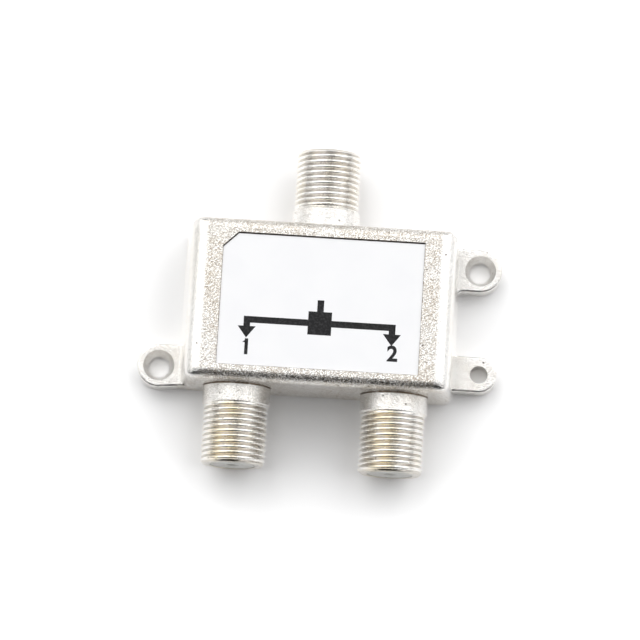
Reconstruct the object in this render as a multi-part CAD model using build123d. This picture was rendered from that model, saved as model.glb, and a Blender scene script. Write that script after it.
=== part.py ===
"""Two-way coaxial splitter: a die-cast box with one input port and two output ports.

Frame: origin on the back plane at the middle of the box, +X to the right, +Y towards
the input port, +Z towards the labelled face. All lengths are in millimetres.
"""

import os
from math import asin, cos, radians, sin, sqrt, tan

from build123d import *

# Box of the casting, measured across its back plane
BODY_WIDTH = 40.4
BODY_DEPTH = 24.0
BODY_HEIGHT = 12.4
SIDE_DRAFT = 4.8          # degrees, left and right walls
PORT_WALL_DRAFT = 0.7     # degrees, the two walls that carry ports
CORNER_RADIUS = 1.6       # upright corners, seen in plan
FACE_EDGE_RADIUS = 1.5    # edge of the face above the ports
SHOULDER = 2.2            # width of the fuller left and right edges of the face
SHOULDER_RADIUS = 2.5
SHOULDER_BLEND = 0.28     # how far the shoulder's curve runs on into the face and the wall
WALL = 1.8
ROOF = 1.6
CAVITY_RADIUS = 1.0

# Recess in the face and the printed film in it
RECESS_WIDTH = 29.3
RECESS_HEIGHT = 19.5
RECESS_DEPTH = 0.4
RECESS_NOTCH_X = 2.2      # cut corner next to the input port
RECESS_NOTCH_Y = 2.15
LABEL_THICKNESS = 0.2
LABEL_GAP = 0.1           # all round, between film and recess
LABEL_TOP_GAP = 0.12      # more of it on the input side, where the film stops short

# Ports: a plain collar, then a 3/8-32 thread turned to its major diameter
OUTPUT_SPACING = 22.9
PORT_AXIS_HEIGHT = 5.0
PORT_REACH = 23.4         # from the middle of the box to the end of a barrel
PORT_ROOT_DEPTH = 0.9     # how far a barrel's foot runs into the wall
COLLAR_RADIUS = 4.95
COLLAR_LENGTH = 2.65
THREAD_RADIUS = 4.7625
THREAD_CHAMFER = 0.45
COLLAR_CHAMFER = 0.15
PORT_BORE_RADIUS = 3.3
PORT_SEAT_STANDOFF = 0.6  # of the shoulder that stops the insulator, out from the wall
PORT_NECK_RADIUS = 2.5

# Ears with the two mounting holes and the ground screw hole
EAR_THICKNESS = 3.0
EAR_RIM_RADIUS = 0.35
EAR_ROOT_RADIUS = 0.8
EAR_ROOT_DEPTH = 3.0      # how far an ear's foot runs into the box
EAR_INSET = 0.3           # of the foot, from the wall that carries the ports
MOUNT_EAR_RADIUS = 3.2
MOUNT_EAR_REACH = 23.1    # hole centre, left or right of the middle
LEFT_EAR_Y = -9.0
RIGHT_EAR_Y = 7.8
MOUNT_HOLE_RADIUS = 1.55
MOUNT_HOLE_LENGTH = 1.0   # straight part of the hole, at the back
MOUNT_MOUTH_RADIUS = 2.28
GROUND_EAR_RADIUS = 2.65
GROUND_EAR_REACH = 23.65
GROUND_EAR_Y = -7.6
GROUND_HOLE_RADIUS = 1.3

# Back cover, let into a step round the back of the cavity
COVER_THICKNESS = 0.8
COVER_LEDGE = 0.8
COVER_GAP = 0.08
COVER_CORNER_RADIUS = 1.4

# Circuit board, on four cast bosses whose pegs pass through it
BOARD_THICKNESS = 1.0
BOARD_FACE = 3.4          # height of the side that carries the components
BOARD_GAP = 0.25          # between board and cavity wall
BOSS_RADIUS = 2.0
BOSS_INSET = 1.6          # boss centre, from both cavity walls
BOSS_ROOT_DEPTH = 0.4     # how far a boss runs into the roof
PEG_RADIUS = 0.8
HOLE_CLEARANCE = 0.1      # radial, round pegs and leads

# Insulators and centre contacts
INSULATOR_GAP = 0.05      # radial, in bore and neck
INSULATOR_RECESS = 0.05   # of the insulator's front face behind the end of the barrel
INSULATOR_LIP = 1.0
INSULATOR_HOLE_RADIUS = 0.7
INSULATOR_COUNTERSINK = 0.4
CONTACT_RADIUS = 1.1
CONTACT_GAP = 0.1
CONTACT_BORE_RADIUS = 0.55
CONTACT_SLOT_WIDTH = 0.35
CONTACT_SLOT_LENGTH = 5.0
CONTACT_TAIL_WIDTH = 0.9
CONTACT_TAIL_THICKNESS = 0.35
CONTACT_TAIL_SETBACK = 1.1   # of the downturned tail behind the inner end of the contact
CONTACT_OVERRUN = 0.4        # of the contact past the cavity wall

# Ferrite transformers: two-hole cores with a wire through both holes
CORE_WIDTH = 6.2
CORE_LENGTH = 4.2
CORE_HEIGHT = 3.4
CORE_EDGE_RADIUS = 0.6
CORE_HOLE_RADIUS = 0.75
CORE_HOLE_SPACING = 3.0
MATCHING_CORE_AT = (-4.6, 0.8)
SPLITTING_CORE_AT = (4.6, -0.4)
WIRE_RADIUS = 0.14
WIRE_TURNS = 3
WIRE_PITCH = 0.34
WIRE_STANDOFF = 0.35      # of the turns past the ends of the core
WIRE_BEND = 0.3
WIRE_SPACING = 0.42       # between the turns and the end that passes them on its way down

# Leaded parts on the board
LEAD_RADIUS = 0.25
LEAD_BEND = 0.5
RESISTOR_RADIUS = 0.85
RESISTOR_EDGE_RADIUS = 0.28
RESISTOR_LENGTH = 4.2
RESISTOR_SPAN = 8.4       # between its two leads
RESISTOR_INSET = 2.4      # resistor's axis, from the cavity wall on the output side
RESISTOR_STANDOFF = 0.1
DISC_RADIUS = 1.9
DISC_THICKNESS = 1.7
DISC_EDGE_RADIUS = 0.6
DISC_STANDOFF = 1.0
DISC_LEAD_SPACING = 2.5
INPUT_CAPACITOR_AT = (6.6, 5.6)
COMPENSATION_CAPACITOR_AT = (-6.6, 5.6)
OUTPUT_CAPACITOR_Y = -3.6

# Solder on the back of the board
SOLDER_HEIGHT = 0.7
SOLDER_SPREAD = 0.4       # beyond the soldered lead
PEG_SOLDER_SPREAD = 0.45

HALF_WIDTH = BODY_WIDTH / 2
HALF_DEPTH = BODY_DEPTH / 2
SIDE_SLOPE = tan(radians(SIDE_DRAFT))
PORT_WALL_SLOPE = tan(radians(PORT_WALL_DRAFT))
CAVITY_TOP = BODY_HEIGHT - ROOF
CAVITY_HALF_DEPTH = HALF_DEPTH - WALL
PORT_SEAT = HALF_DEPTH + PORT_SEAT_STANDOFF
RESISTOR_Y = RESISTOR_INSET - CAVITY_HALF_DEPTH
RECESS_FLOOR = BODY_HEIGHT - RECESS_DEPTH
BOARD_BACK = BOARD_FACE - BOARD_THICKNESS
OUTPUT_X = OUTPUT_SPACING / 2
BOSS_X = HALF_WIDTH - WALL - BOSS_INSET
BOSS_Y = CAVITY_HALF_DEPTH - BOSS_INSET
OVERCUT = 1.0             # how far cutting tools run past the metal

# Each port: x of its axis, and +1 for the input side or -1 for the output side
PORTS = {"input": (0.0, 1), "left_output": (-OUTPUT_X, -1), "right_output": (OUTPUT_X, -1)}


def drafted_block(inset, bottom, top, radius):
    """Box between two heights whose four walls lean in, inset from the casting's own."""
    low_x, high_x = (HALF_WIDTH - inset - z * SIDE_SLOPE for z in (bottom, top))
    low_y, high_y = (HALF_DEPTH - inset - z * PORT_WALL_SLOPE for z in (bottom, top))
    front = make_face(Polyline((-low_x, 0, bottom), (low_x, 0, bottom), (high_x, 0, top),
                               (-high_x, 0, top), close=True))
    side = make_face(Polyline((0, -low_y, bottom), (0, low_y, bottom), (0, high_y, top),
                              (0, -high_y, top), close=True))
    block = extrude(front, BODY_DEPTH, both=True) & extrude(side, BODY_WIDTH, both=True)
    upright_edges = block.edges().group_by(Axis.Z)[1]
    return fillet(upright_edges, radius)


def shoulder_cutter():
    """What the rounded shoulder leaves off along the right edge of the face."""
    face_x = HALF_WIDTH - BODY_HEIGHT * SIDE_SLOPE - SHOULDER
    wall_z = BODY_HEIGHT - SHOULDER
    wall_x = HALF_WIDTH - wall_z * SIDE_SLOPE
    run, drop = wall_x - face_x, BODY_HEIGHT - wall_z
    chord = sqrt(run * run + drop * drop)
    apothem = SHOULDER_RADIUS * cos(asin(chord / 2 / SHOULDER_RADIUS))
    centre_x = (face_x + wall_x) / 2 - apothem * drop / chord
    centre_z = (BODY_HEIGHT + wall_z) / 2 - apothem * run / chord
    corner = Pos(face_x - SHOULDER_BLEND, 0, wall_z - SHOULDER_BLEND) * Box(
        SHOULDER + OVERCUT + BODY_HEIGHT * SIDE_SLOPE, BODY_DEPTH + 2 * OVERCUT,
        SHOULDER + OVERCUT, align=(Align.MIN, Align.CENTER, Align.MIN))
    core = Pos(centre_x, 0, centre_z) * Rot(90, 0, 0) * Cylinder(
        SHOULDER_RADIUS, BODY_DEPTH + 4 * OVERCUT)
    return corner - core


def box_shell():
    """Outside of the box: drafted walls, a rounded face edge and two fuller shoulders."""
    block = drafted_block(0, 0, BODY_HEIGHT, CORNER_RADIUS)
    block = fillet(block.faces().sort_by(Axis.Z)[-1].edges(), FACE_EDGE_RADIUS)
    cutter = shoulder_cutter()
    return block - cutter - mirror(cutter, Plane.YZ)


def ear(side, reach, y, radius, flared):
    """Flat lug with a round end and rounded rim, its foot inside the box."""
    wall_x = HALF_WIDTH - EAR_THICKNESS * SIDE_SLOPE
    foot_x = HALF_WIDTH - EAR_ROOT_DEPTH
    limit = HALF_DEPTH - EAR_INSET
    low, high = max(y - radius, -limit), min(y + radius, limit)
    lug = make_face(Polyline((foot_x, low), (reach, y - radius), (reach, y + radius),
                             (foot_x, high), close=True))
    outline = lug + Pos(reach, y) * Circle(radius)
    for sign in flared:
        inner, outer = y + sign * radius / 2, y + sign * (radius + EAR_ROOT_RADIUS + EAR_INSET)
        outline += Pos((foot_x + wall_x) / 2, (inner + outer) / 2) * Rectangle(
            wall_x - foot_x, abs(outer - inner))
        root = Vector(wall_x, y + sign * radius, 0)
        corner = min(outline.vertices(), key=lambda v: (Vector(*v) - root).length)
        outline = fillet([corner], EAR_ROOT_RADIUS)
    plate = extrude(outline, EAR_THICKNESS)
    plate = fillet(plate.faces().sort_by(Axis.Z)[-1].edges(), EAR_RIM_RADIUS)
    return plate if side > 0 else mirror(plate, Plane.YZ)


def along_port(x, side, profile):
    """Turn a profile of (radius, distance from the middle of the box) into a port's body."""
    axis = Axis((x, 0, PORT_AXIS_HEIGHT), (0, 1, 0))
    points = [(x + r, side * y, PORT_AXIS_HEIGHT) for r, y in profile]
    return revolve(make_face(Polyline(*points, close=True)), axis)


def barrel(x, side):
    """Collar and thread, from inside the wall to the chamfered end."""
    thread_start = HALF_DEPTH + COLLAR_LENGTH
    return along_port(x, side, [
        (0, HALF_DEPTH - PORT_ROOT_DEPTH), (COLLAR_RADIUS, HALF_DEPTH - PORT_ROOT_DEPTH),
        (COLLAR_RADIUS, thread_start - COLLAR_CHAMFER),
        (COLLAR_RADIUS - COLLAR_CHAMFER, thread_start), (THREAD_RADIUS, thread_start),
        (THREAD_RADIUS, PORT_REACH - THREAD_CHAMFER),
        (THREAD_RADIUS - THREAD_CHAMFER, PORT_REACH), (0, PORT_REACH)])


def port_bore(x, side):
    """Stepped hole from the end of a barrel into the cavity."""
    inner = CAVITY_HALF_DEPTH - OVERCUT
    return along_port(x, side, [
        (0, inner), (PORT_NECK_RADIUS, inner), (PORT_NECK_RADIUS, PORT_SEAT),
        (PORT_BORE_RADIUS, PORT_SEAT), (PORT_BORE_RADIUS, PORT_REACH + OVERCUT),
        (0, PORT_REACH + OVERCUT)])


def mount_hole(x, y):
    """Cast screw hole: straight at the back, opening to a wide mouth in front."""
    straight = Pos(x, y, -OVERCUT) * Cylinder(
        MOUNT_HOLE_RADIUS, MOUNT_HOLE_LENGTH + OVERCUT, align=(Align.CENTER, Align.CENTER, Align.MIN))
    taper = Pos(x, y, MOUNT_HOLE_LENGTH) * Cone(
        MOUNT_HOLE_RADIUS, MOUNT_MOUTH_RADIUS, EAR_THICKNESS - MOUNT_HOLE_LENGTH,
        align=(Align.CENTER, Align.CENTER, Align.MIN))
    return straight + taper


def recess_outline(gap):
    """Rectangle with one cut corner, inset all round by a gap."""
    right, top = RECESS_WIDTH / 2 - gap, RECESS_HEIGHT / 2 - gap
    slant = gap * (1 - tan(radians(22.5)))
    return make_face(Polyline(
        (-right, -top), (right, -top), (right, top), (-right + RECESS_NOTCH_X - slant, top),
        (-right, top - RECESS_NOTCH_Y + slant), close=True))


def peg_places():
    return [(sx * BOSS_X, sy * BOSS_Y) for sx in (-1, 1) for sy in (-1, 1)]


def upright(x, y, bottom, top, radius):
    """Round post between two heights."""
    return Pos(x, y, bottom) * Cylinder(
        radius, top - bottom, align=(Align.CENTER, Align.CENTER, Align.MIN))


def housing():
    """Zinc casting: box, barrels and ears in one piece, hollow from the back."""
    casting = box_shell()
    casting += ear(-1, MOUNT_EAR_REACH, LEFT_EAR_Y, MOUNT_EAR_RADIUS, [1])
    casting += ear(1, MOUNT_EAR_REACH, RIGHT_EAR_Y, MOUNT_EAR_RADIUS, [-1])
    casting += ear(1, GROUND_EAR_REACH, GROUND_EAR_Y, GROUND_EAR_RADIUS, [1])
    for x, side in PORTS.values():
        casting += barrel(x, side)
    casting -= drafted_block(WALL, -OVERCUT, CAVITY_TOP, CAVITY_RADIUS)
    casting -= cover_step(0)
    for x, y in peg_places():
        casting += upright(x, y, BOARD_FACE, CAVITY_TOP + BOSS_ROOT_DEPTH, BOSS_RADIUS)
        casting += upright(x, y, BOARD_BACK, BOARD_FACE + PEG_RADIUS, PEG_RADIUS)
    for x, side in PORTS.values():
        casting -= port_bore(x, side)
    casting -= mount_hole(-MOUNT_EAR_REACH, LEFT_EAR_Y)
    casting -= mount_hole(MOUNT_EAR_REACH, RIGHT_EAR_Y)
    casting -= upright(GROUND_EAR_REACH, GROUND_EAR_Y, -OVERCUT, EAR_THICKNESS + OVERCUT,
                       GROUND_HOLE_RADIUS)
    casting -= extrude(Pos(0, 0, RECESS_FLOOR) * recess_outline(0), RECESS_DEPTH + OVERCUT)
    return casting


def cover_step(gap):
    """Room for the cover, or the cover itself with its gap all round."""
    width = BODY_WIDTH - 2 * (WALL - COVER_LEDGE + gap)
    depth = BODY_DEPTH - 2 * (WALL - COVER_LEDGE + gap)
    below = OVERCUT if gap == 0 else 0
    outline = Pos(0, 0, -below) * RectangleRounded(width, depth, COVER_CORNER_RADIUS - gap)
    return extrude(outline, COVER_THICKNESS + below)


def label():
    """Film in the recess, trimmed a little at its top edge and cut corner."""
    outline = recess_outline(LABEL_GAP)
    outline = outline & Pos(0, -LABEL_TOP_GAP) * outline
    return extrude(Pos(0, 0, RECESS_FLOOR) * outline, LABEL_THICKNESS)


def insulator(x, side):
    """Stepped plastic plug that stops on the shoulder in the barrel."""
    front = PORT_REACH - INSULATOR_RECESS
    rear = CAVITY_HALF_DEPTH
    body, neck = PORT_BORE_RADIUS - INSULATOR_GAP, PORT_NECK_RADIUS - INSULATOR_GAP
    socket = CONTACT_RADIUS + CONTACT_GAP
    mouth = INSULATOR_HOLE_RADIUS
    return along_port(x, side, [
        (socket, rear), (neck, rear), (neck, PORT_SEAT), (body, PORT_SEAT), (body, front),
        (mouth + INSULATOR_COUNTERSINK, front), (mouth, front - INSULATOR_COUNTERSINK),
        (mouth, front - INSULATOR_LIP), (socket, front - INSULATOR_LIP)])


def contact_inner_end():
    return CAVITY_HALF_DEPTH - CONTACT_OVERRUN


def tail_y():
    """Distance of a contact's downturned tail from the middle of the box."""
    return contact_inner_end() - CONTACT_TAIL_SETBACK


def contact(x, side):
    """Slotted tube that grips the cable's conductor, with a flat tail turned down to the board."""
    front = PORT_REACH - INSULATOR_RECESS - INSULATOR_LIP
    inner = contact_inner_end()
    blind = inner + CONTACT_RADIUS
    tube = along_port(x, side, [
        (0, inner), (CONTACT_RADIUS, inner), (CONTACT_RADIUS, front),
        (CONTACT_BORE_RADIUS, front), (CONTACT_BORE_RADIUS, blind), (0, blind)])
    slot_middle = side * (front - CONTACT_SLOT_LENGTH / 2)
    tube -= Pos(x, slot_middle, PORT_AXIS_HEIGHT) * Box(
        2 * CONTACT_RADIUS + OVERCUT, CONTACT_SLOT_LENGTH, CONTACT_SLOT_WIDTH)
    path = FilletPolyline(
        (x, side * (inner + CONTACT_RADIUS / 2), PORT_AXIS_HEIGHT),
        (x, side * tail_y(), PORT_AXIS_HEIGHT), (x, side * tail_y(), BOARD_BACK),
        radius=LEAD_BEND)
    section = Plane(path @ 0, x_dir=(1, 0, 0), z_dir=path % 0) * Rectangle(
        CONTACT_TAIL_WIDTH, CONTACT_TAIL_THICKNESS)
    return tube + sweep(section, path=path)


def core(x, y):
    """Two-hole ferrite block, standing on the board."""
    block = Pos(x, y, BOARD_FACE) * Box(
        CORE_WIDTH, CORE_LENGTH, CORE_HEIGHT, align=(Align.CENTER, Align.CENTER, Align.MIN))
    block = fillet(block.edges().filter_by(Axis.Y), CORE_EDGE_RADIUS)
    for side in (-1, 1):
        block -= Pos(x + side * CORE_HOLE_SPACING / 2, y, BOARD_FACE + CORE_HEIGHT / 2) * Rot(
            90, 0, 0) * Cylinder(CORE_HOLE_RADIUS, CORE_LENGTH + OVERCUT)
    return block


def winding_pins(x, y):
    """Where a winding's two ends and its tap pass through the board."""
    hole = CORE_HOLE_SPACING / 2
    end = CORE_LENGTH / 2 + WIRE_STANDOFF
    return [(x - hole, y - end), (x + hole, y - end - WIRE_SPACING), (x, y + end)]


def winding(x, y):
    """One wire threaded through both holes of a core, with a tap on its first turn."""
    start, finish, tap = winding_pins(x, y)
    left, right = start[0], finish[0]
    near, far = start[1], tap[1]
    level = BOARD_FACE + CORE_HEIGHT / 2 - WIRE_PITCH * (WIRE_TURNS - 1) / 2
    points = [(left, near, BOARD_BACK), (left, near, level)]
    for turn in range(WIRE_TURNS):
        z = level + turn * WIRE_PITCH
        last = turn == WIRE_TURNS - 1
        points += [(left, far, z), (right, far, z), (right, finish[1] if last else near, z)]
        points.append((right, finish[1], BOARD_BACK) if last else (left, near, z + WIRE_PITCH))
    path = FilletPolyline(*points, radius=WIRE_BEND)
    wire = sweep(Plane(path @ 0, z_dir=path % 0) * Circle(WIRE_RADIUS), path=path)
    return wire + upright(tap[0], tap[1], BOARD_BACK, level, WIRE_RADIUS)


def resistor_height():
    return BOARD_FACE + RESISTOR_STANDOFF + RESISTOR_RADIUS


def resistor_body():
    body = Pos(0, RESISTOR_Y, resistor_height()) * Rot(0, 90, 0) * Cylinder(
        RESISTOR_RADIUS, RESISTOR_LENGTH)
    return fillet(body.edges().filter_by(GeomType.CIRCLE), RESISTOR_EDGE_RADIUS)


def resistor_pins():
    return [(side * RESISTOR_SPAN / 2, RESISTOR_Y) for side in (-1, 1)]


def resistor_leads():
    leads = []
    for pin_x, y in resistor_pins():
        body_end = RESISTOR_LENGTH / 2 * (1 if pin_x > 0 else -1)
        path = FilletPolyline(
            (body_end, y, resistor_height()), (pin_x, y, resistor_height()),
            (pin_x, y, BOARD_BACK), radius=LEAD_BEND)
        leads.append(sweep(Plane(path @ 0, z_dir=path % 0) * Circle(LEAD_RADIUS), path=path))
    return Compound(leads)


def disc(x, y):
    """Ceramic disc standing on edge above the board."""
    body = Pos(x, y, BOARD_FACE + DISC_STANDOFF + DISC_RADIUS) * Rot(90, 0, 0) * Cylinder(
        DISC_RADIUS, DISC_THICKNESS)
    return fillet(body.edges().filter_by(GeomType.CIRCLE), DISC_EDGE_RADIUS)


def disc_pins(x, y):
    return [(x + side * DISC_LEAD_SPACING / 2, y) for side in (-1, 1)]


def disc_leads(x, y):
    body = disc(x, y)
    top = BOARD_FACE + DISC_STANDOFF + DISC_RADIUS
    return Compound([upright(px, py, BOARD_BACK, top, LEAD_RADIUS) - body
                     for px, py in disc_pins(x, y)])


CORES = {"matching": MATCHING_CORE_AT, "splitting": SPLITTING_CORE_AT}

DISCS = {
    "input_capacitor": INPUT_CAPACITOR_AT,
    "compensation_capacitor": COMPENSATION_CAPACITOR_AT,
    "left_output_capacitor": (-OUTPUT_X, OUTPUT_CAPACITOR_Y),
    "right_output_capacitor": (OUTPUT_X, OUTPUT_CAPACITOR_Y),
}


def lead_places():
    """Round leads through the board: (x, y, radius)."""
    places = [(x, y, WIRE_RADIUS) for at in CORES.values() for x, y in winding_pins(*at)]
    places += [(x, y, LEAD_RADIUS) for x, y in resistor_pins()]
    for at in DISCS.values():
        places += [(x, y, LEAD_RADIUS) for x, y in disc_pins(*at)]
    return places


def circuit_board():
    width = BODY_WIDTH - 2 * (WALL + BOARD_FACE * SIDE_SLOPE + BOARD_GAP)
    depth = 2 * (CAVITY_HALF_DEPTH - BOARD_FACE * PORT_WALL_SLOPE - BOARD_GAP)
    board = extrude(Pos(0, 0, BOARD_BACK) * RectangleRounded(width, depth, CAVITY_RADIUS),
                    BOARD_THICKNESS)
    below, above = BOARD_BACK - OVERCUT, BOARD_FACE + OVERCUT
    for x, y in peg_places():
        board -= upright(x, y, below, above, PEG_RADIUS + HOLE_CLEARANCE)
    for x, y, radius in lead_places():
        board -= upright(x, y, below, above, radius + HOLE_CLEARANCE)
    for x, side in PORTS.values():
        board -= Pos(x, side * tail_y(), BOARD_BACK) * Box(
            CONTACT_TAIL_WIDTH + 2 * HOLE_CLEARANCE, CONTACT_TAIL_THICKNESS + 2 * HOLE_CLEARANCE,
            2 * BOARD_THICKNESS + OVERCUT)
    return board


def solder_joints():
    """A small cone of solder under every lead, tail and peg."""
    spots = [(x, y, radius, SOLDER_SPREAD) for x, y, radius in lead_places()]
    spots += [(x, side * tail_y(), CONTACT_TAIL_WIDTH / 2, SOLDER_SPREAD) for x, side in PORTS.values()]
    spots += [(x, y, PEG_RADIUS, PEG_SOLDER_SPREAD) for x, y in peg_places()]
    joints = []
    for x, y, radius, spread in spots:
        joints.append(Pos(x, y, BOARD_BACK - SOLDER_HEIGHT) * Cone(
            radius, radius + spread, SOLDER_HEIGHT, align=(Align.CENTER, Align.CENTER, Align.MIN)))
    return Compound(joints)


def pieces():
    """Every piece by its name."""
    made = {"housing": housing(), "back_cover": cover_step(COVER_GAP), "label": label(),
            "circuit_board": circuit_board()}
    for name, (x, side) in PORTS.items():
        made[name + "_insulator"] = insulator(x, side)
        made[name + "_contact"] = contact(x, side)
    for name, at in CORES.items():
        made[name + "_core"] = core(*at)
        made[name + "_winding"] = winding(*at)
    made["resistor_body"] = resistor_body()
    made["resistor_leads"] = resistor_leads()
    for name, at in DISCS.items():
        made[name] = disc(*at)
        made[name + "_leads"] = disc_leads(*at)
    made["solder_joints"] = solder_joints()
    return made


os.makedirs("parts", exist_ok=True)
for piece_name, shape in pieces().items():
    export_step(shape, f"parts/{piece_name}.step")
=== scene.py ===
import math

import bmesh
import bpy
from mathutils import Matrix, Vector


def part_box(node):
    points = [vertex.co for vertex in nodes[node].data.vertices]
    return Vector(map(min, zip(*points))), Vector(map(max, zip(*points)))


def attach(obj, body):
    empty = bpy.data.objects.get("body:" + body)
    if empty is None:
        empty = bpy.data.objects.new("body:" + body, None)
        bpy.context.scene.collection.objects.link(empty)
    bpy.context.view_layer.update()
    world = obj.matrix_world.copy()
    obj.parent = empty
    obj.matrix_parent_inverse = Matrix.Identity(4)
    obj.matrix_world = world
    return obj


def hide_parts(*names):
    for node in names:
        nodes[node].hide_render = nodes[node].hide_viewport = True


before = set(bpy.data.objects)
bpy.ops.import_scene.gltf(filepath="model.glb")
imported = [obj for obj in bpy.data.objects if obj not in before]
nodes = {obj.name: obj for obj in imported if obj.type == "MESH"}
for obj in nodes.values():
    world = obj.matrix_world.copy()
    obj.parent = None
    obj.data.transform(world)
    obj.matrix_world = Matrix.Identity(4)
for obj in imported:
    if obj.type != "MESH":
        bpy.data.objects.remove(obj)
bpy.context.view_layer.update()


# Camera: it looks down on the splitter, which lies on its back, from a little to the output
# side through a long lens, and the splitter is turned a few degrees in the frame.
MM = 0.001
CAMERA_TILT = math.radians(9.753)
CAMERA_ROLL = math.radians(3.462)
CAMERA_DISTANCE = 655.7 * MM
CAMERA_LENS = 253.1
SENSOR_WIDTH = 36.0
look_at = Vector((0.014 * MM, -1.416 * MM, 6.0 * MM))
camera_turn = Matrix.Rotation(CAMERA_TILT, 3, "X") @ Matrix.Rotation(CAMERA_ROLL, 3, "Z")
camera_lens = bpy.data.cameras.new("camera")
camera_lens.lens = CAMERA_LENS
camera_lens.sensor_width = SENSOR_WIDTH
camera_lens.clip_start = 10 * MM
camera_lens.clip_end = 10000 * MM
camera = bpy.data.objects.new("camera", camera_lens)
camera.matrix_world = Matrix.Translation(
    look_at + camera_turn.col[2] * CAMERA_DISTANCE) @ camera_turn.to_4x4()
bpy.context.scene.collection.objects.link(camera)
bpy.context.scene.camera = camera
bpy.context.scene.view_settings.view_transform = "Standard"


# Housing: one die casting in zinc alloy with its box, ears and port barrels in one piece,
# plated thinly over a grainy, pitted skin. The 3/8-32 threads are cut after casting, so
# they run out against the plain collars and are chamfered at the ends of the barrels.
PORT_RADIUS = 4.7625 * MM
PORT_HEIGHT = 5.0 * MM
OUTPUT_X = 11.45 * MM
ports = {"input": (0.0, 1), "left_output": (-OUTPUT_X, -1), "right_output": (OUTPUT_X, -1)}
THREADS_PER_INCH = 32
THREAD_PITCH = 25.4 / THREADS_PER_INCH * MM
THREAD_DEPTH = 0.32 * MM
THREAD_FROM = 14.65 * MM
THREAD_TO = 23.4 * MM
END_CHAMFER = 0.45 * MM
RUN_OUT = 0.45 * MM
ROOT_SHARPNESS = 2.4
COLUMNS = 96
ROWS_PER_TURN = 10
SPARE_TURNS = 2
SAME_PLACE = MM / 2000


def from_axis(point, port_x):
    return math.hypot(point.x - port_x, point.z - PORT_HEIGHT)


def thread_radius(row, along):
    """Rounded crests and tight roots, faded out at the collar and cut by the end chamfer."""
    groove = (0.5 - 0.5 * math.cos(2 * math.pi * row / ROWS_PER_TURN)) ** ROOT_SHARPNESS
    fade = min(1.0, max(0.0, (along - THREAD_FROM) / RUN_OUT))
    chamfer = PORT_RADIUS - max(0.0, along - (THREAD_TO - END_CHAMFER))
    return min(PORT_RADIUS - THREAD_DEPTH * groove * fade, chamfer)


def cut_thread(shape, port_x, side):
    """Adds a helical thread: a grid whose rows climb one pitch a turn, clipped at both ends."""
    turns = math.ceil((THREAD_TO - THREAD_FROM) / THREAD_PITCH) + SPARE_TURNS
    columns = []
    for column in range(COLUMNS):
        angle = 2 * math.pi * column / COLUMNS
        points = []
        for row in range(turns * ROWS_PER_TURN):
            climb = row / ROWS_PER_TURN + column / COLUMNS - 1
            along = min(THREAD_TO, max(THREAD_FROM, THREAD_FROM + climb * THREAD_PITCH))
            radius = thread_radius(row, along)
            points.append(shape.verts.new((
                port_x + radius * math.cos(angle), side * along,
                PORT_HEIGHT - side * radius * math.sin(angle))))
        columns.append(points)
    made = [vert for points in columns for vert in points]
    first_column_a_turn_on = columns[0][ROWS_PER_TURN:]
    for left, right in zip(columns, [*columns[1:], first_column_a_turn_on]):
        for row in range(min(len(left), len(right)) - 1):
            shape.faces.new((left[row], right[row], right[row + 1], left[row + 1]))
    bmesh.ops.remove_doubles(shape, verts=made, dist=SAME_PLACE)


# The casting starts from the CAD mesh. Each corner of a face keeps its exact normal, because
# normals smoothed over the mesh's long thin triangles would show as streaks in the metal.
cad_mesh = nodes["housing"].data
casting = bmesh.new()
casting.from_mesh(cad_mesh)
true_normal = casting.loops.layers.float_vector.new("true_normal")
for face in casting.faces:
    first_corner = cad_mesh.polygons[face.index].loop_start
    for corner, loop in enumerate(face.loops, first_corner):
        loop[true_normal] = cad_mesh.corner_normals[corner].vector

# The plain cylinders of the three barrels make way for the threads.
SLACK = 0.02 * MM
plain_barrels = []
for face in casting.faces:
    for port_x, side in ports.values():
        reach = [side * vert.co.y for vert in face.verts]
        radii = [from_axis(vert.co, port_x) for vert in face.verts]
        if (min(reach) > THREAD_FROM - SLACK and min(radii) > PORT_RADIUS - END_CHAMFER - SLACK
                and max(radii) < PORT_RADIUS + SLACK):
            plain_barrels.append(face)
bmesh.ops.delete(casting, geom=plain_barrels, context="FACES")
for port_x, side in ports.values():
    cut_thread(casting, port_x, side)

# At the four upper corners of the box the shoulders and the rounded edges run into each other.
# There the normals that meet at a point and lie close to their mean are made one. Cuts through
# the mesh keep that out of the face and the shoulders. A corner's limits are in millimetres.
CUT_X = 16.7 * MM
CUT_Y = 9.9 * MM
CORNER_X = 16.9
CORNER_Y = 9.95
CORNER_Y_END = 12
CORNER_Z = 9.5
CORNER_DIGITS = 2
CLOSE_NORMALS = math.radians(45)
KEPT_LENGTH = 0.5
for cut in (Vector((CUT_X, 0, 0)), Vector((0, CUT_Y, 0))):
    for side in (-1, 1):
        whole = [*casting.verts, *casting.edges, *casting.faces]
        bmesh.ops.bisect_plane(casting, geom=whole, dist=SAME_PLACE, plane_co=cut * side,
                               plane_no=cut.normalized())
corners = {}
for face in casting.faces:
    face.smooth = True
    for loop in face.loops:
        place = loop.vert.co / MM
        if (abs(place.x) > CORNER_X and CORNER_Y < abs(place.y) < CORNER_Y_END
                and place.z > CORNER_Z):
            corners.setdefault(tuple(round(part, CORNER_DIGITS) for part in place), []).append(loop)
for loops in corners.values():
    shared = sum((loop[true_normal] for loop in loops), Vector()).normalized()
    for loop in loops:
        if shared.length > KEPT_LENGTH and loop[true_normal].angle(shared, 0) < CLOSE_NORMALS:
            loop[true_normal] = shared

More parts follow.
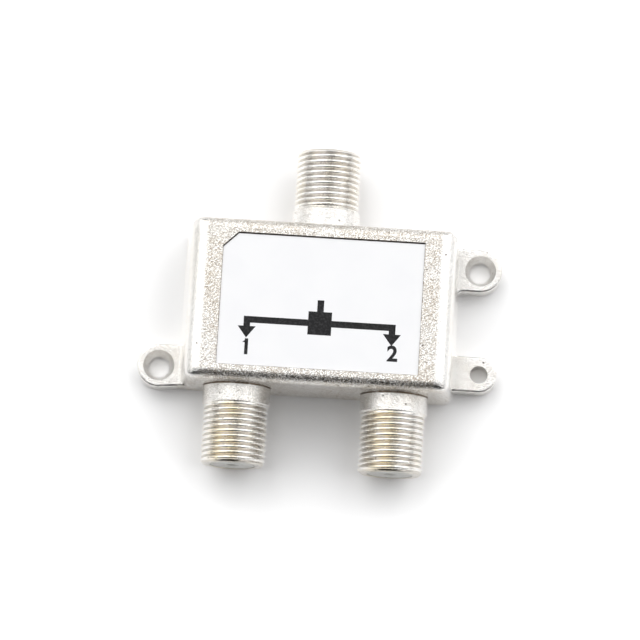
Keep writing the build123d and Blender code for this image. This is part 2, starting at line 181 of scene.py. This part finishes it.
# A kept normal has length 1. The threads have none, so they take those of their smooth mesh.
housing_mesh = bpy.data.meshes.new("housing_casting")
casting.to_mesh(housing_mesh)
casting.free()
kept = housing_mesh.attributes["true_normal"].data
housing_mesh.normals_split_custom_set([
    tuple(known.vector) if known.vector.length > KEPT_LENGTH else tuple(smoothed.vector)
    for known, smoothed in zip(kept, housing_mesh.corner_normals)])
housing_mesh.attributes.remove(housing_mesh.attributes["true_normal"])
housing = bpy.data.objects.new("housing_casting", housing_mesh)
bpy.context.scene.collection.objects.link(housing)

# The sockets that a Mix node uses for colours go by number.
MIX_AMOUNT, MIX_FIRST, MIX_SECOND, MIX_COLOUR = 0, 6, 7, 2


class Level:
    """An output of a material's nodes. Arithmetic on it adds the Math nodes that it needs."""

    def __init__(self, tree, socket=None):
        self.tree = tree
        self.socket = socket

    def node(self, kind, settings, sockets, output=0):
        """Adds a node: its settings first, then a value or a link for each named socket."""
        made = self.tree.nodes.new(kind)
        for name, value in settings.items():
            setattr(made, name, value)
        for name, value in sockets.items():
            if isinstance(value, Level):
                self.tree.links.new(value.socket, made.inputs[name])
            else:
                made.inputs[name].default_value = value
        return Level(self.tree, made.outputs[output] if made.outputs else None)

    def math(self, operation, first, second=0.0):
        return self.node("ShaderNodeMath", {"operation": operation}, {0: first, 1: second})

    def __add__(self, other):
        return self.math("ADD", self, other)

    def __sub__(self, other):
        return self.math("SUBTRACT", self, other)

    def __rsub__(self, other):
        return self.math("SUBTRACT", other, self)

    def __mul__(self, other):
        return self.math("MULTIPLY", self, other)

    def __abs__(self):
        return self.math("ABSOLUTE", self)

    def __pow__(self, other):
        return self.math("POWER", self, other)

    __radd__ = __add__
    __rmul__ = __mul__

    def rises(self, low, high):
        """0 below low and 1 above high, smooth between."""
        return self.node("ShaderNodeMapRange", {"interpolation_type": "SMOOTHSTEP"},
                         {"Value": self, "From Min": low, "From Max": high})

    def place(self):
        return self.node("ShaderNodeTexCoord", {}, {}, "Object")

    def axes(self, where=None):
        """The x, y and z of a point: its place in the object unless another is given."""
        return [self.node("ShaderNodeSeparateXYZ", {}, {"Vector": where or self.place()}, axis)
                for axis in "XYZ"]

    def stretched(self, scale):
        """The place in the object with each axis scaled, for streaks along the small ones."""
        return self.node("ShaderNodeVectorMath", {"operation": "MULTIPLY"}, {
            0: self.place(), 1: scale})

    def noise(self, size, detail=3.0, where=None):
        """Cloudy noise whose lumps are about size across."""
        return self.node("ShaderNodeTexNoise", {}, {
            "Vector": where or self.place(), "Scale": 1 / size, "Detail": detail})

    def cells(self, size, feature="F1", output="Distance"):
        """Irregular cells about size across: how far it is to their middles, unless asked else."""
        return self.node("ShaderNodeTexVoronoi", {"feature": feature}, {
            "Vector": self.place(), "Scale": 1 / size}, output)

    def tint(self, amount, first, second):
        """From the first colour to the second as amount goes from 0 to 1."""
        return self.node("ShaderNodeMix", {"data_type": "RGBA"}, {
            MIX_AMOUNT: amount, MIX_FIRST: shade(first), MIX_SECOND: shade(second)}, MIX_COLOUR)


def shade(colour):
    return colour if isinstance(colour, Level) else (*colour, 1.0)


def new_material(name):
    """An empty material and the start of its nodes."""
    material = bpy.data.materials.new(name)
    material.use_nodes = True
    material.node_tree.nodes.clear()
    return material, Level(material.node_tree)


def surface(material, start, sockets, relief, relief_height):
    """Ends a material: its shader with these sockets, and the relief of its skin as a bump."""
    bump = start.node("ShaderNodeBump", {}, {
        "Strength": 1.0, "Distance": relief_height, "Height": relief})
    shader = start.node("ShaderNodeBsdfPrincipled", {}, {**sockets, "Normal": bump})
    start.node("ShaderNodeOutputMaterial", {}, {"Surface": shader})


def put_on(piece, material):
    """Gives a piece its material."""
    piece.data.materials.clear()
    piece.data.materials.append(material)


# Places at which the finish of the casting and its painted shade change, then levels of noise at
# which they do. Each pair is where a change begins and where it ends.
PAST_WALL = (11.3 * MM, 11.6 * MM)
OFF_BARREL = (5.0 * MM, 5.15 * MM)
PAST_COLLAR = (14.5 * MM, 14.8 * MM)
ABOVE_ROOT = (4.46 * MM, 4.7 * MM)
JUNCTION_RADIUS = 4.98 * MM
JUNCTION_REACH = 11.92 * MM
JUNCTION_RING = (0.12 * MM, 0.2 * MM)
JUNCTION_WIDTH = (0.1 * MM, 0.22 * MM)
JUNCTION_RISE = (5.0 * MM, 6.5 * MM)
RECESS_SIDE = (14.7 * MM, 14.75 * MM)
RECESS_END = (9.8 * MM, 9.85 * MM)
RECESS_FLOOR = (11.8 * MM, 11.9 * MM)
RECESS_RIM = (12.34 * MM, 12.38 * MM)
SHADOWED_END = (7.2 * MM, 7.7 * MM)
LIT_SIDE = (14.5 * MM, 14.6 * MM)
EAR_ROOT = (20.1 * MM, 20.4 * MM)
SHOULDER = (16.7 * MM, 17.2 * MM)
END_WALL = (11.2 * MM, 11.9 * MM)
OUTPUT_SIDE = (-12.0 * MM, 0)
STAIN_SHIFT = 1.3 * MM
STAIN_EDGE = (0.8 * MM, 2.8 * MM)
INPUT_END_SPREAD = (0, 20.0 * MM)
SPARKLING = (0.2, 0.8)
PIT_EDGE = (0.06, 0.2)
PIT_GROUPS = (0.52, 0.6)
FINE_SPECKS = (0.56, 0.68)
SPECK_GROUPS = (0.36, 0.62)
GREYING_CLOUDS = (0.35, 0.7)
BROWN_CLOUDS = (0.4, 0.65)
LIGHT_STAIN = (0.42, 0.7)
HEAVY_STAIN = (0.25, 0.6)
JUNCTION_GAPS = (0.2, 0.45)
GRAIN_SIZE = 0.15 * MM
COARSE_SIZE = 0.9 * MM
CLOUD_SIZE = 4.5 * MM
PATCH_SIZE = 2.4 * MM
PIT_SPACING = 1.1 * MM
PIT_GROUP_SIZE = 1.6 * MM
CLEAN_SILVER = (0.91, 0.9, 0.88)
GREYER_SILVER = (0.85, 0.83, 0.79)
GREY_GRAIN = (0.47, 0.43, 0.38)
BROWN_GRAIN = (0.42, 0.36, 0.29)
SPECK_BROWN = (0.34, 0.28, 0.21)
PIT_BROWN = (0.2, 0.16, 0.13)
BRASSY_STAIN = (0.86, 0.76, 0.56)
ROOT_SHADE_GREY = (0.42, 0.38, 0.32)
JUNCTION_DARK_BROWN = (0.14, 0.09, 0.05)
RECESS_SHADOW_PAINT = (0.07, 0.06, 0.05)

cast_zinc, zinc = new_material("plated_zinc_casting")
x, y, z = zinc.axes()
port_distance = None
for port_x, side in ports.values():
    across = x - port_x
    up = z - PORT_HEIGHT
    distance = (across * across + up * up) ** 0.5
    far = distance + (1 - (y * side).rises(*PAST_WALL))
    port_distance = far if port_distance is None else zinc.math("MINIMUM", port_distance, far)
on_port = 1 - port_distance.rises(*OFF_BARREL)
cast = 1 - on_port
on_thread = abs(y).rises(*PAST_COLLAR) * on_port
# Painted shade: the roots of the threads are greyed darker.
thread_root_shade = on_thread * (1 - port_distance.rises(*ABOVE_ROOT))
# A thin dark brown line runs round the upper half of each collar where it meets the wall, broken in
# places by noise.
round_barrel = 1 - abs(port_distance - JUNCTION_RADIUS).rises(*JUNCTION_RING)
at_wall = 1 - abs(abs(y) - JUNCTION_REACH).rises(*JUNCTION_WIDTH)
junction = round_barrel * at_wall * z.rises(*JUNCTION_RISE)
in_recess = (1 - abs(x).rises(*RECESS_SIDE)) * (1 - abs(y).rises(*RECESS_END)) * (
    z.rises(*RECESS_FLOOR) * (1 - z.rises(*RECESS_RIM)))
# Painted shadow: the recess is darkened near its input end, but not along its right side, where the
# gap round the film shows.
recess_shadow = in_recess * y.rises(*SHADOWED_END) * (1 - x.rises(*LIT_SIDE))
on_ear = abs(x).rises(*EAR_ROOT)
on_end_wall = abs(y).rises(*END_WALL) * (1 - on_ear)
smooth_side = abs(x).rises(*SHOULDER) * (1 - 0.3 * on_ear) * (1 - on_end_wall)
stain_x = x - zinc.math("SIGN", x) * OUTPUT_X + STAIN_SHIFT
stained_side = (1 - abs(stain_x).rises(*STAIN_EDGE)) * (1 - y.rises(*OUTPUT_SIDE))

grain = zinc.noise(GRAIN_SIZE, 2.0)
sparkle = zinc.cells(GRAIN_SIZE, output="Color").rises(*SPARKLING)
coarse = zinc.noise(COARSE_SIZE)
clouds = zinc.noise(CLOUD_SIZE, 2.0)
patches = zinc.noise(PATCH_SIZE, 4.0)
pit_groups = zinc.noise(PIT_GROUP_SIZE, 2.0).rises(*PIT_GROUPS)
pits = (1 - zinc.cells(PIT_SPACING).rises(*PIT_EDGE)) * pit_groups
specks = grain.rises(*FINE_SPECKS) * coarse.rises(*SPECK_GROUPS) * (
    1 - 0.6 * on_thread) * (1 - 0.75 * smooth_side)
# The cast skin greys in clouds, and more towards the input end and the left.
greying = clouds.rises(*GREYING_CLOUDS) * 0.6 + (
    y - 0.6 * x).rises(*INPUT_END_SPREAD) * 0.6 * cast
grains_seen = (1 - sparkle) * (0.3 + 0.55 * cast) * (1 - 0.85 * smooth_side)
stain = on_thread * (
    patches.rises(*LIGHT_STAIN) * 0.2 + stained_side * patches.rises(*HEAVY_STAIN) * 0.7)

silver = zinc.tint(greying, CLEAN_SILVER, GREYER_SILVER)
dull = zinc.tint(clouds.rises(*BROWN_CLOUDS), GREY_GRAIN, BROWN_GRAIN)
skin = zinc.tint(grains_seen, silver, dull)
specked = zinc.tint(specks * 0.75, skin, SPECK_BROWN)
pitted = zinc.tint(pits * 0.75, specked, PIT_BROWN)
brassy = zinc.tint(stain, pitted, BRASSY_STAIN)
# Painted shade greys the thread roots.
threaded = zinc.tint(thread_root_shade * 0.6, brassy, ROOT_SHADE_GREY)
joined = zinc.tint(junction * coarse.rises(*JUNCTION_GAPS) * 0.9, threaded, JUNCTION_DARK_BROWN)
plain = (1 - on_port * 0.2 - on_thread * 0.4) * (1 - 0.4 * smooth_side)
surface(cast_zinc, zinc, {
    "Base Color": zinc.tint(recess_shadow * 0.9, joined, RECESS_SHADOW_PAINT), "Metallic": 1.0,
    "Roughness": 0.15 + 0.14 * coarse * plain + 0.2 * specks + 0.3 * pits + 0.3 * recess_shadow},
    relief=(grain + coarse * 0.25) * plain - pits * 0.6, relief_height=0.095 * MM)
put_on(housing, cast_zinc)
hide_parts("housing")
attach(housing, "root")


# Label: a white film printed in black, glued into the recess of the face. It carries plain
# numbers for the outputs and a fork that shows one way in and two ways out.
SOFT_CLOUDS = (0.35, 0.65)
BRIGHT_FILM = (0.955, 0.957, 0.97)
HAZY_FILM = (0.935, 0.938, 0.955)
film, white = new_material("white_label_film")
fibre = white.noise(0.5 * MM)
haze = white.noise(6.0 * MM, 2.0)
surface(film, white, {
    "Base Color": white.tint(haze.rises(*SOFT_CLOUDS), BRIGHT_FILM, HAZY_FILM),
    "Roughness": 0.32 + 0.12 * fibre, "Coat Weight": 0.25, "Coat Roughness": 0.2},
    relief=fibre * 0.5 + haze, relief_height=0.01 * MM)
put_on(nodes["label"], film)

INK_THICKNESS = 0.012 * MM
FORK_Y = -3.0 * MM
FORK_BAR = 0.95 * MM
FORK_REACH = 10.5 * MM
BLOCK_SIDE = 3.4 * MM
TRUNK_LENGTH = 1.7 * MM
STEM_LENGTH = 0.5 * MM
ARROW_WIDTH = 2.6 * MM
ARROW_HEIGHT = 1.7 * MM
NUMBER_HEIGHT = 2.2 * MM
NUMBER_SHARE = 0.7
NUMBER_WEIGHT = 0.09 * MM
FLAG_REACH = 0.5 * MM
FLAG_DROP = 0.75 * FLAG_REACH
number_places = {"1": (-10.4 * MM, -7.1 * MM), "2": (10.7 * MM, -6.9 * MM)}
film_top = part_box("label")[1].z


def ink_patch(shape, outline):
    """A flat printed patch with the thickness of its ink."""
    base = shape.faces.new([shape.verts.new((px, py, film_top)) for px, py in outline])
    raised = bmesh.ops.extrude_face_region(shape, geom=[base])
    tops = [item for item in raised["geom"] if isinstance(item, bmesh.types.BMVert)]
    bmesh.ops.translate(shape, verts=tops, vec=(0, 0, INK_THICKNESS))


def ink_box(shape, left, right, low, high):
    ink_patch(shape, [(left, low), (right, low), (right, high), (left, high)])


print_shape = bmesh.new()
half_bar, half_block = FORK_BAR / 2, BLOCK_SIDE / 2
block_top, bar_low = FORK_Y + half_block, FORK_Y - half_bar
ink_box(print_shape, -half_block, half_block, FORK_Y - half_block, block_top)
ink_box(print_shape, -half_bar, half_bar, block_top, block_top + TRUNK_LENGTH)
for side in (-1, 1):
    inner, outer = side * half_block, side * (FORK_REACH + half_bar)
    arrow_x, arrow_y = side * FORK_REACH, bar_low - STEM_LENGTH
    ink_box(print_shape, min(inner, outer), max(inner, outer), bar_low, FORK_Y + half_bar)
    ink_box(print_shape, arrow_x - half_bar, arrow_x + half_bar, arrow_y, bar_low)
    ink_patch(print_shape, [
        (arrow_x - ARROW_WIDTH / 2, arrow_y), (arrow_x, arrow_y - ARROW_HEIGHT),
        (arrow_x + ARROW_WIDTH / 2, arrow_y)])

# The built-in numeral 1 is a bare stroke, so it gets a flag.
one_x, one_y = number_places["1"]
flag_x, one_top = one_x - NUMBER_WEIGHT, one_y + NUMBER_HEIGHT / 2
ink_patch(print_shape, [
    (flag_x - FLAG_REACH, one_top - FLAG_DROP), (flag_x, one_top - FLAG_DROP),
    (flag_x, one_top + NUMBER_WEIGHT)])
for digit, (centre_x, centre_y) in number_places.items():
    numeral = bpy.data.curves.new("number", "FONT")
    numeral.body = digit
    numeral.align_x = "CENTER"
    numeral.align_y = "CENTER"
    numeral.size = NUMBER_HEIGHT / NUMBER_SHARE
    numeral.extrude = INK_THICKNESS / 2
    numeral.offset = NUMBER_WEIGHT
    drawn = bpy.data.objects.new("number", numeral)
    bpy.context.scene.collection.objects.link(drawn)
    number_mesh = bpy.data.meshes.new_from_object(drawn)
    number_mesh.transform(Matrix.Translation((centre_x, centre_y, film_top + INK_THICKNESS / 2)))
    print_shape.from_mesh(number_mesh)
    bpy.data.objects.remove(drawn)
bmesh.ops.recalc_face_normals(print_shape, faces=print_shape.faces)
print_mesh = bpy.data.meshes.new("label_print")
print_shape.to_mesh(print_mesh)
print_shape.free()
label_print = bpy.data.objects.new("label_print", print_mesh)
bpy.context.scene.collection.objects.link(label_print)

FULL_INK = (0.01, 0.01, 0.011)
THIN_INK = (0.035, 0.035, 0.037)
black_ink, ink = new_material("black_printing_ink")
surface(black_ink, ink, {
    "Base Color": ink.tint(ink.noise(0.3 * MM).rises(0.4, 0.75), FULL_INK, THIN_INK),
    "Roughness": 0.5 + 0.2 * ink.noise(0.4 * MM), "Specular IOR Level": 0.25},
    relief=ink.noise(0.2 * MM), relief_height=0.004 * MM)
put_on(label_print, black_ink)
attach(label_print, "root")


# Port insulators: moulded polyethylene plugs, pressed into the barrels from the front,
# with a countersunk hole that guides the cable's conductor into the contact.
MILKY = (0.82, 0.82, 0.79)
YELLOWED = (0.74, 0.73, 0.69)
plastic, resin = new_material("moulded_polyethylene")
milk = resin.noise(1.2 * MM, 2.0)
surface(plastic, resin, {
    "Base Color": resin.tint(milk.rises(*SOFT_CLOUDS), MILKY, YELLOWED),
    "Roughness": 0.42 + 0.15 * resin.noise(0.15 * MM)},
    relief=resin.noise(0.18 * MM), relief_height=0.012 * MM)
for port in ports:
    put_on(nodes[port + "_insulator"], plastic)


# Centre contacts: rolled spring brass with a thin tin plating, slotted at the front,
# their tails bent down and soldered into the board.
THIN_TIN = (0.8, 0.78, 0.72)
RUBBED_BRASS = (0.78, 0.62, 0.32)
spring, brass = new_material("tinned_spring_brass")
rub = brass.noise(0.7 * MM)
surface(spring, brass, {
    "Base Color": brass.tint(rub.rises(0.4, 0.65), THIN_TIN, RUBBED_BRASS),
    "Metallic": 1.0, "Roughness": 0.25 + 0.2 * rub},
    relief=brass.noise(0.12 * MM), relief_height=0.008 * MM)
for port in ports:
    put_on(nodes[port + "_contact"], spring)


# Back cover: a pressed plate of tinned sheet steel, let into the back of the casting. It
# keeps the rolling lines of the sheet, dulled by handling and a few short scratches.
ALONG_X = (0.04, 1.0, 1.0)
ALONG_Y = (1.0, 0.07, 1.0)
BRIGHT_TIN = (0.76, 0.76, 0.75)
DULLED_TIN = (0.6, 0.59, 0.57)
tinned_sheet, sheet = new_material("tinned_sheet_steel")
rolling = sheet.noise(0.18 * MM, where=sheet.stretched(ALONG_X))
scratches = sheet.noise(0.5 * MM, 2.0, sheet.stretched(ALONG_Y)).rises(0.66, 0.72)
dulling = sheet.noise(5.0 * MM, 4.0).rises(0.35, 0.7)
surface(tinned_sheet, sheet, {
    "Base Color": sheet.tint(dulling, BRIGHT_TIN, DULLED_TIN), "Metallic": 1.0,
    "Roughness": 0.26 + 0.2 * dulling + 0.1 * rolling + 0.15 * scratches},
    relief=rolling * 0.5 - scratches * 0.5, relief_height=0.01 * MM)
put_on(nodes["back_cover"], tinned_sheet)


# Circuit board: single-sided paper laminate in its natural brown, drilled for the leads,
# with tinned copper tracks on the side that faces the cover.
BOARD_SKIN = (2.42 * MM, 2.5 * MM)
TRACK_SPACING = 5.5 * MM
TRACK_EDGE = (0.07, 0.1)
DARK_PAPER = (0.42, 0.26, 0.1)
LIGHT_PAPER = (0.5, 0.33, 0.14)
TRACK_TIN = (0.66, 0.66, 0.64)
laminate, board = new_material("paper_laminate_board")
paper = board.noise(0.35 * MM, 4.0)
board_z = board.axes()[2]
gaps = board.cells(TRACK_SPACING, "DISTANCE_TO_EDGE")
track = gaps.rises(*TRACK_EDGE) * (1 - board_z.rises(*BOARD_SKIN))
brown = board.tint(paper.rises(*SOFT_CLOUDS), DARK_PAPER, LIGHT_PAPER)
surface(laminate, board, {
    "Base Color": board.tint(track, brown, TRACK_TIN), "Metallic": track,
    "Roughness": 0.5 - 0.2 * track + 0.15 * paper},
    relief=paper + track * 2.0, relief_height=0.015 * MM)
put_on(nodes["circuit_board"], laminate)


# Transformers: two-hole cores of fired ferrite, each threaded by hand with enamelled copper
# wire whose three ends go down through the board.
FERRITE_BLACK = (0.045, 0.044, 0.046)
FERRITE_GREY = (0.1, 0.098, 0.1)
ferrite, fired = new_material("fired_ferrite")
fired_grain = fired.noise(0.2 * MM, 4.0)
surface(ferrite, fired, {
    "Base Color": fired.tint(fired_grain.rises(0.35, 0.7), FERRITE_BLACK, FERRITE_GREY),
    "Roughness": 0.45 + 0.25 * fired_grain},
    relief=fired_grain, relief_height=0.02 * MM)

DARK_ENAMEL = (0.5, 0.16, 0.05)
LIGHT_ENAMEL = (0.62, 0.26, 0.09)
enamel, wire = new_material("enamelled_copper_wire")
wire_shift = wire.noise(0.8 * MM, 2.0)
surface(enamel, wire, {
    "Base Color": wire.tint(wire_shift.rises(*SOFT_CLOUDS), DARK_ENAMEL, LIGHT_ENAMEL),
    "Metallic": 0.7, "Roughness": 0.22 + 0.15 * wire_shift, "Coat Weight": 0.8},
    relief=wire_shift, relief_height=0.006 * MM)
for transformer in ("matching", "splitting"):
    put_on(nodes[transformer + "_core"], ferrite)
    put_on(nodes[transformer + "_winding"], enamel)


# Isolation resistor: a ceramic rod under beige lacquer with four painted value rings,
# lying between the two outputs on its bent leads.
INNER_RING_X = 0.35 * MM
OUTER_RING_X = 1.15 * MM
RING_EDGE = (0.12 * MM, 0.16 * MM)
LIGHT_BEIGE = (0.62, 0.47, 0.28)
DARK_BEIGE = (0.55, 0.4, 0.22)
RED_RING = (0.25, 0.05, 0.03)
BROWN_RING = (0.14, 0.07, 0.03)
lacquer, beige = new_material("lacquered_resistor")
from_middle = abs(beige.axes()[0])
gloss = beige.noise(0.6 * MM, 2.0)
inner_ring = 1 - abs(from_middle - INNER_RING_X).rises(*RING_EDGE)
outer_ring = 1 - abs(from_middle - OUTER_RING_X).rises(*RING_EDGE)
lacquered = beige.tint(gloss.rises(*SOFT_CLOUDS), LIGHT_BEIGE, DARK_BEIGE)
ringed = beige.tint(inner_ring, lacquered, RED_RING)
surface(lacquer, beige, {
    "Base Color": beige.tint(outer_ring, ringed, BROWN_RING),
    "Roughness": 0.25 + 0.15 * gloss},
    relief=gloss, relief_height=0.02 * MM)
put_on(nodes["resistor_body"], lacquer)


# Capacitors: ceramic discs dipped in ochre wax, standing on edge on their leads, one in
# each line and one across the matching transformer. The resistor has the same tinned leads.
OCHRE_WAX = (0.62, 0.28, 0.07)
DARK_WAX = (0.5, 0.2, 0.05)
wax, dipped = new_material("waxed_ceramic_disc")
runs = dipped.noise(0.9 * MM)
surface(wax, dipped, {
    "Base Color": dipped.tint(runs.rises(*SOFT_CLOUDS), OCHRE_WAX, DARK_WAX),
    "Roughness": 0.38 + 0.2 * runs},
    relief=runs, relief_height=0.05 * MM)

BRIGHT_LEAD = (0.74, 0.74, 0.72)
DULL_LEAD = (0.6, 0.6, 0.59)
tinned, lead = new_material("tinned_copper_lead")
tin_shift = lead.noise(0.5 * MM)
surface(tinned, lead, {
    "Base Color": lead.tint(tin_shift.rises(*SOFT_CLOUDS), BRIGHT_LEAD, DULL_LEAD),
    "Metallic": 1.0, "Roughness": 0.26 + 0.2 * tin_shift},
    relief=tin_shift, relief_height=0.01 * MM)
for line in ("input", "compensation", "left_output", "right_output"):
    put_on(nodes[line + "_capacitor"], wax)
    put_on(nodes[line + "_capacitor_leads"], tinned)
put_on(nodes["resistor_leads"], tinned)


# Solder: a bright cone of tin alloy round every lead, tail and peg on the back of the
# board, with the fine frost of slow cooling.
BRIGHT_SOLDER = (0.72, 0.73, 0.74)
FROSTED_SOLDER = (0.56, 0.57, 0.58)
solder, frosted = new_material("tin_solder")
frost = frosted.noise(0.15 * MM, 4.0)
surface(solder, frosted, {
    "Base Color": frosted.tint(frost.rises(0.35, 0.7), BRIGHT_SOLDER, FROSTED_SOLDER),
    "Metallic": 1.0, "Roughness": 0.22 + 0.25 * frost},
    relief=frost, relief_height=0.02 * MM)
put_on(nodes["solder_joints"], solder)


# Table: a wide, white, matt sheet that the splitter lies on. It shows a little whiter than it is
# to the camera and whiter in the metal too. Painted light makes it whiter still to the camera away
# from the splitter, where the splitter's shadow fades, and in spots inside the three screw holes.
TABLE_SIDE = 6000 * MM
TABLE_DROP = 0.02 * MM
TABLE_WHITE = 0.9
TABLE_BLUE = 0.905
SHADOW_REACH = (17.5 * MM, 35.0 * MM)
HOLE_PLACES = ((-23.1 * MM, -9.0 * MM), (23.1 * MM, 7.8 * MM), (23.65 * MM, -7.6 * MM))
HOLE_RADIUS = 1.55 * MM
HOLE_EDGE = (0.7 * HOLE_RADIUS, HOLE_RADIUS)
SHOWN_WHITER = 0.1
AWAY_LIGHT_PAINT = 0.25
HOLE_LIGHT_PAINT = 0.3
MIRRORED_WHITER = 0.35
half_side = TABLE_SIDE / 2
table_mesh = bpy.data.meshes.new("table")
table_mesh.from_pydata([
    (-half_side, -half_side, 0), (half_side, -half_side, 0),
    (half_side, half_side, 0), (-half_side, half_side, 0)], [], [(0, 1, 2, 3)])
floor = bpy.data.objects.new("table", table_mesh)
floor.location.z = -TABLE_DROP
bpy.context.scene.collection.objects.link(floor)

table_top, table = new_material("white_table")


def table_distance(from_x, from_y):
    return table.node("ShaderNodeVectorMath", {"operation": "DISTANCE"}, {
        0: table.place(), 1: (from_x, from_y, 0)}, "Value")


shown = table.node("ShaderNodeLightPath", {}, {}, "Is Camera Ray")
mirrored = table.node("ShaderNodeLightPath", {}, {}, "Is Glossy Ray")
# Painted light: the table whitens to the camera away from the splitter, over the edge of its
# shadow, and in spots inside the screw holes.
clear = table_distance(0, 0).rises(*SHADOW_REACH)
painted_hole_spots = 0
for hole_x, hole_y in HOLE_PLACES:
    painted_hole_spots = painted_hole_spots + (1 - table_distance(hole_x, hole_y).rises(*HOLE_EDGE))
shown_white = (SHOWN_WHITER + AWAY_LIGHT_PAINT * clear + HOLE_LIGHT_PAINT * painted_hole_spots) * shown + (
    MIRRORED_WHITER * mirrored)
table_white = table.node("ShaderNodeCombineColor", {}, {
    "Red": TABLE_WHITE + shown_white, "Green": TABLE_WHITE + shown_white,
    "Blue": TABLE_BLUE + shown_white})
matte = table.node("ShaderNodeBsdfDiffuse", {}, {"Color": table_white})
table.node("ShaderNodeOutputMaterial", {}, {"Surface": matte})
table_mesh.materials.append(table_top)


# Light tent: two bright panels run along the splitter, one on either side of overhead, with a
# faint bridge between them and a third panel towards the input side. The near side and the
# horizon beyond are dark. The panels' sides are turns from overhead in radians, and the rest
# are parts of a direction of length 1, in pairs as on the housing.
RIGHT_PANEL_IN = (0.26, 0.36)
RIGHT_PANEL_OUT = (1.2, 1.3)
LEFT_PANEL_IN = (0.04, 0.14)
LEFT_PANEL_OUT = (1.12, 1.22)
PANELS_NEAR_END = (0.15, 0.75)
PANELS_FAR_END = (0.85, 0.97)
GAP_NEAR = (0.05, 0.3)
GAP_SIDE = (0.5, 0.75)
BRIDGE_Y = 0.17
BRIDGE_EDGE = (0.1, 0.3)
BRIDGE_SIDE = (0.3, 0.5)
HORIZON_BEYOND = (0.86, 0.95)
REAR_IN = (0.32, 0.5)
REAR_OUT = (0.72, 0.86)
REAR_SIDE = (0.4, 0.65)
NEAR_DARK = (-0.1, 0.25)
BELOW_TABLE = (-0.3, -0.1)
WALL_GLOW = 0.53
NEAR_LOSS = 0.47
HORIZON_LOSS = 0.8
GAP_LOSS = 0.6
PANEL_GLOW = 1.27
BRIDGE_GLOW = 0.12
REAR_GLOW = 0.8
BELOW_GLOW = 0.75

tent = bpy.data.worlds.new("light_tent")
tent.use_nodes = True
tent.node_tree.nodes.clear()
sky = Level(tent.node_tree)
sky_x, sky_y, sky_z = sky.axes(sky.node("ShaderNodeTexCoord", {}, {}, "Generated"))
near_side = 0 - sky_y
rightwards = sky.math("ARCTAN2", sky_x, sky_z)
leftwards = 0 - rightwards
right_panel = rightwards.rises(*RIGHT_PANEL_IN) * (1 - rightwards.rises(*RIGHT_PANEL_OUT))
left_panel = leftwards.rises(*LEFT_PANEL_IN) * (1 - leftwards.rises(*LEFT_PANEL_OUT))
dark_gap = near_side.rises(*GAP_NEAR) * (1 - abs(sky_x).rises(*GAP_SIDE))
panels = (right_panel + left_panel) * (1 - dark_gap) * (
    1 - near_side.rises(*PANELS_NEAR_END)) * (1 - sky_y.rises(*PANELS_FAR_END))
bridge = (1 - panels) * (1 - abs(sky_y - BRIDGE_Y).rises(*BRIDGE_EDGE)) * (
    1 - abs(rightwards).rises(*BRIDGE_SIDE))
rear = sky_y.rises(*REAR_IN) * (1 - sky_y.rises(*REAR_OUT)) * (1 - abs(sky_x).rises(*REAR_SIDE))
walls = (WALL_GLOW - near_side.rises(*NEAR_DARK) * NEAR_LOSS) * (
    1 - HORIZON_LOSS * sky_y.rises(*HORIZON_BEYOND)) * (1 - GAP_LOSS * dark_gap)
glow = walls + (panels * PANEL_GLOW + bridge * BRIDGE_GLOW + rear * REAR_GLOW)
below = 1 - sky_z.rises(*BELOW_TABLE)
lit = glow * (1 - below) + BELOW_GLOW * below
white_light = {"Color": (1.0, 1.0, 1.0, 1.0)}
backdrop = sky.node("ShaderNodeBackground", {}, {**white_light, "Strength": 1.0})
light = sky.node("ShaderNodeBackground", {}, {**white_light, "Strength": lit})
seen = sky.node("ShaderNodeLightPath", {}, {}, "Is Camera Ray")
mixed = sky.node("ShaderNodeMixShader", {}, {0: seen, 1: light, 2: backdrop})
sky.node("ShaderNodeOutputWorld", {}, {"Surface": mixed})
bpy.context.scene.world = tent
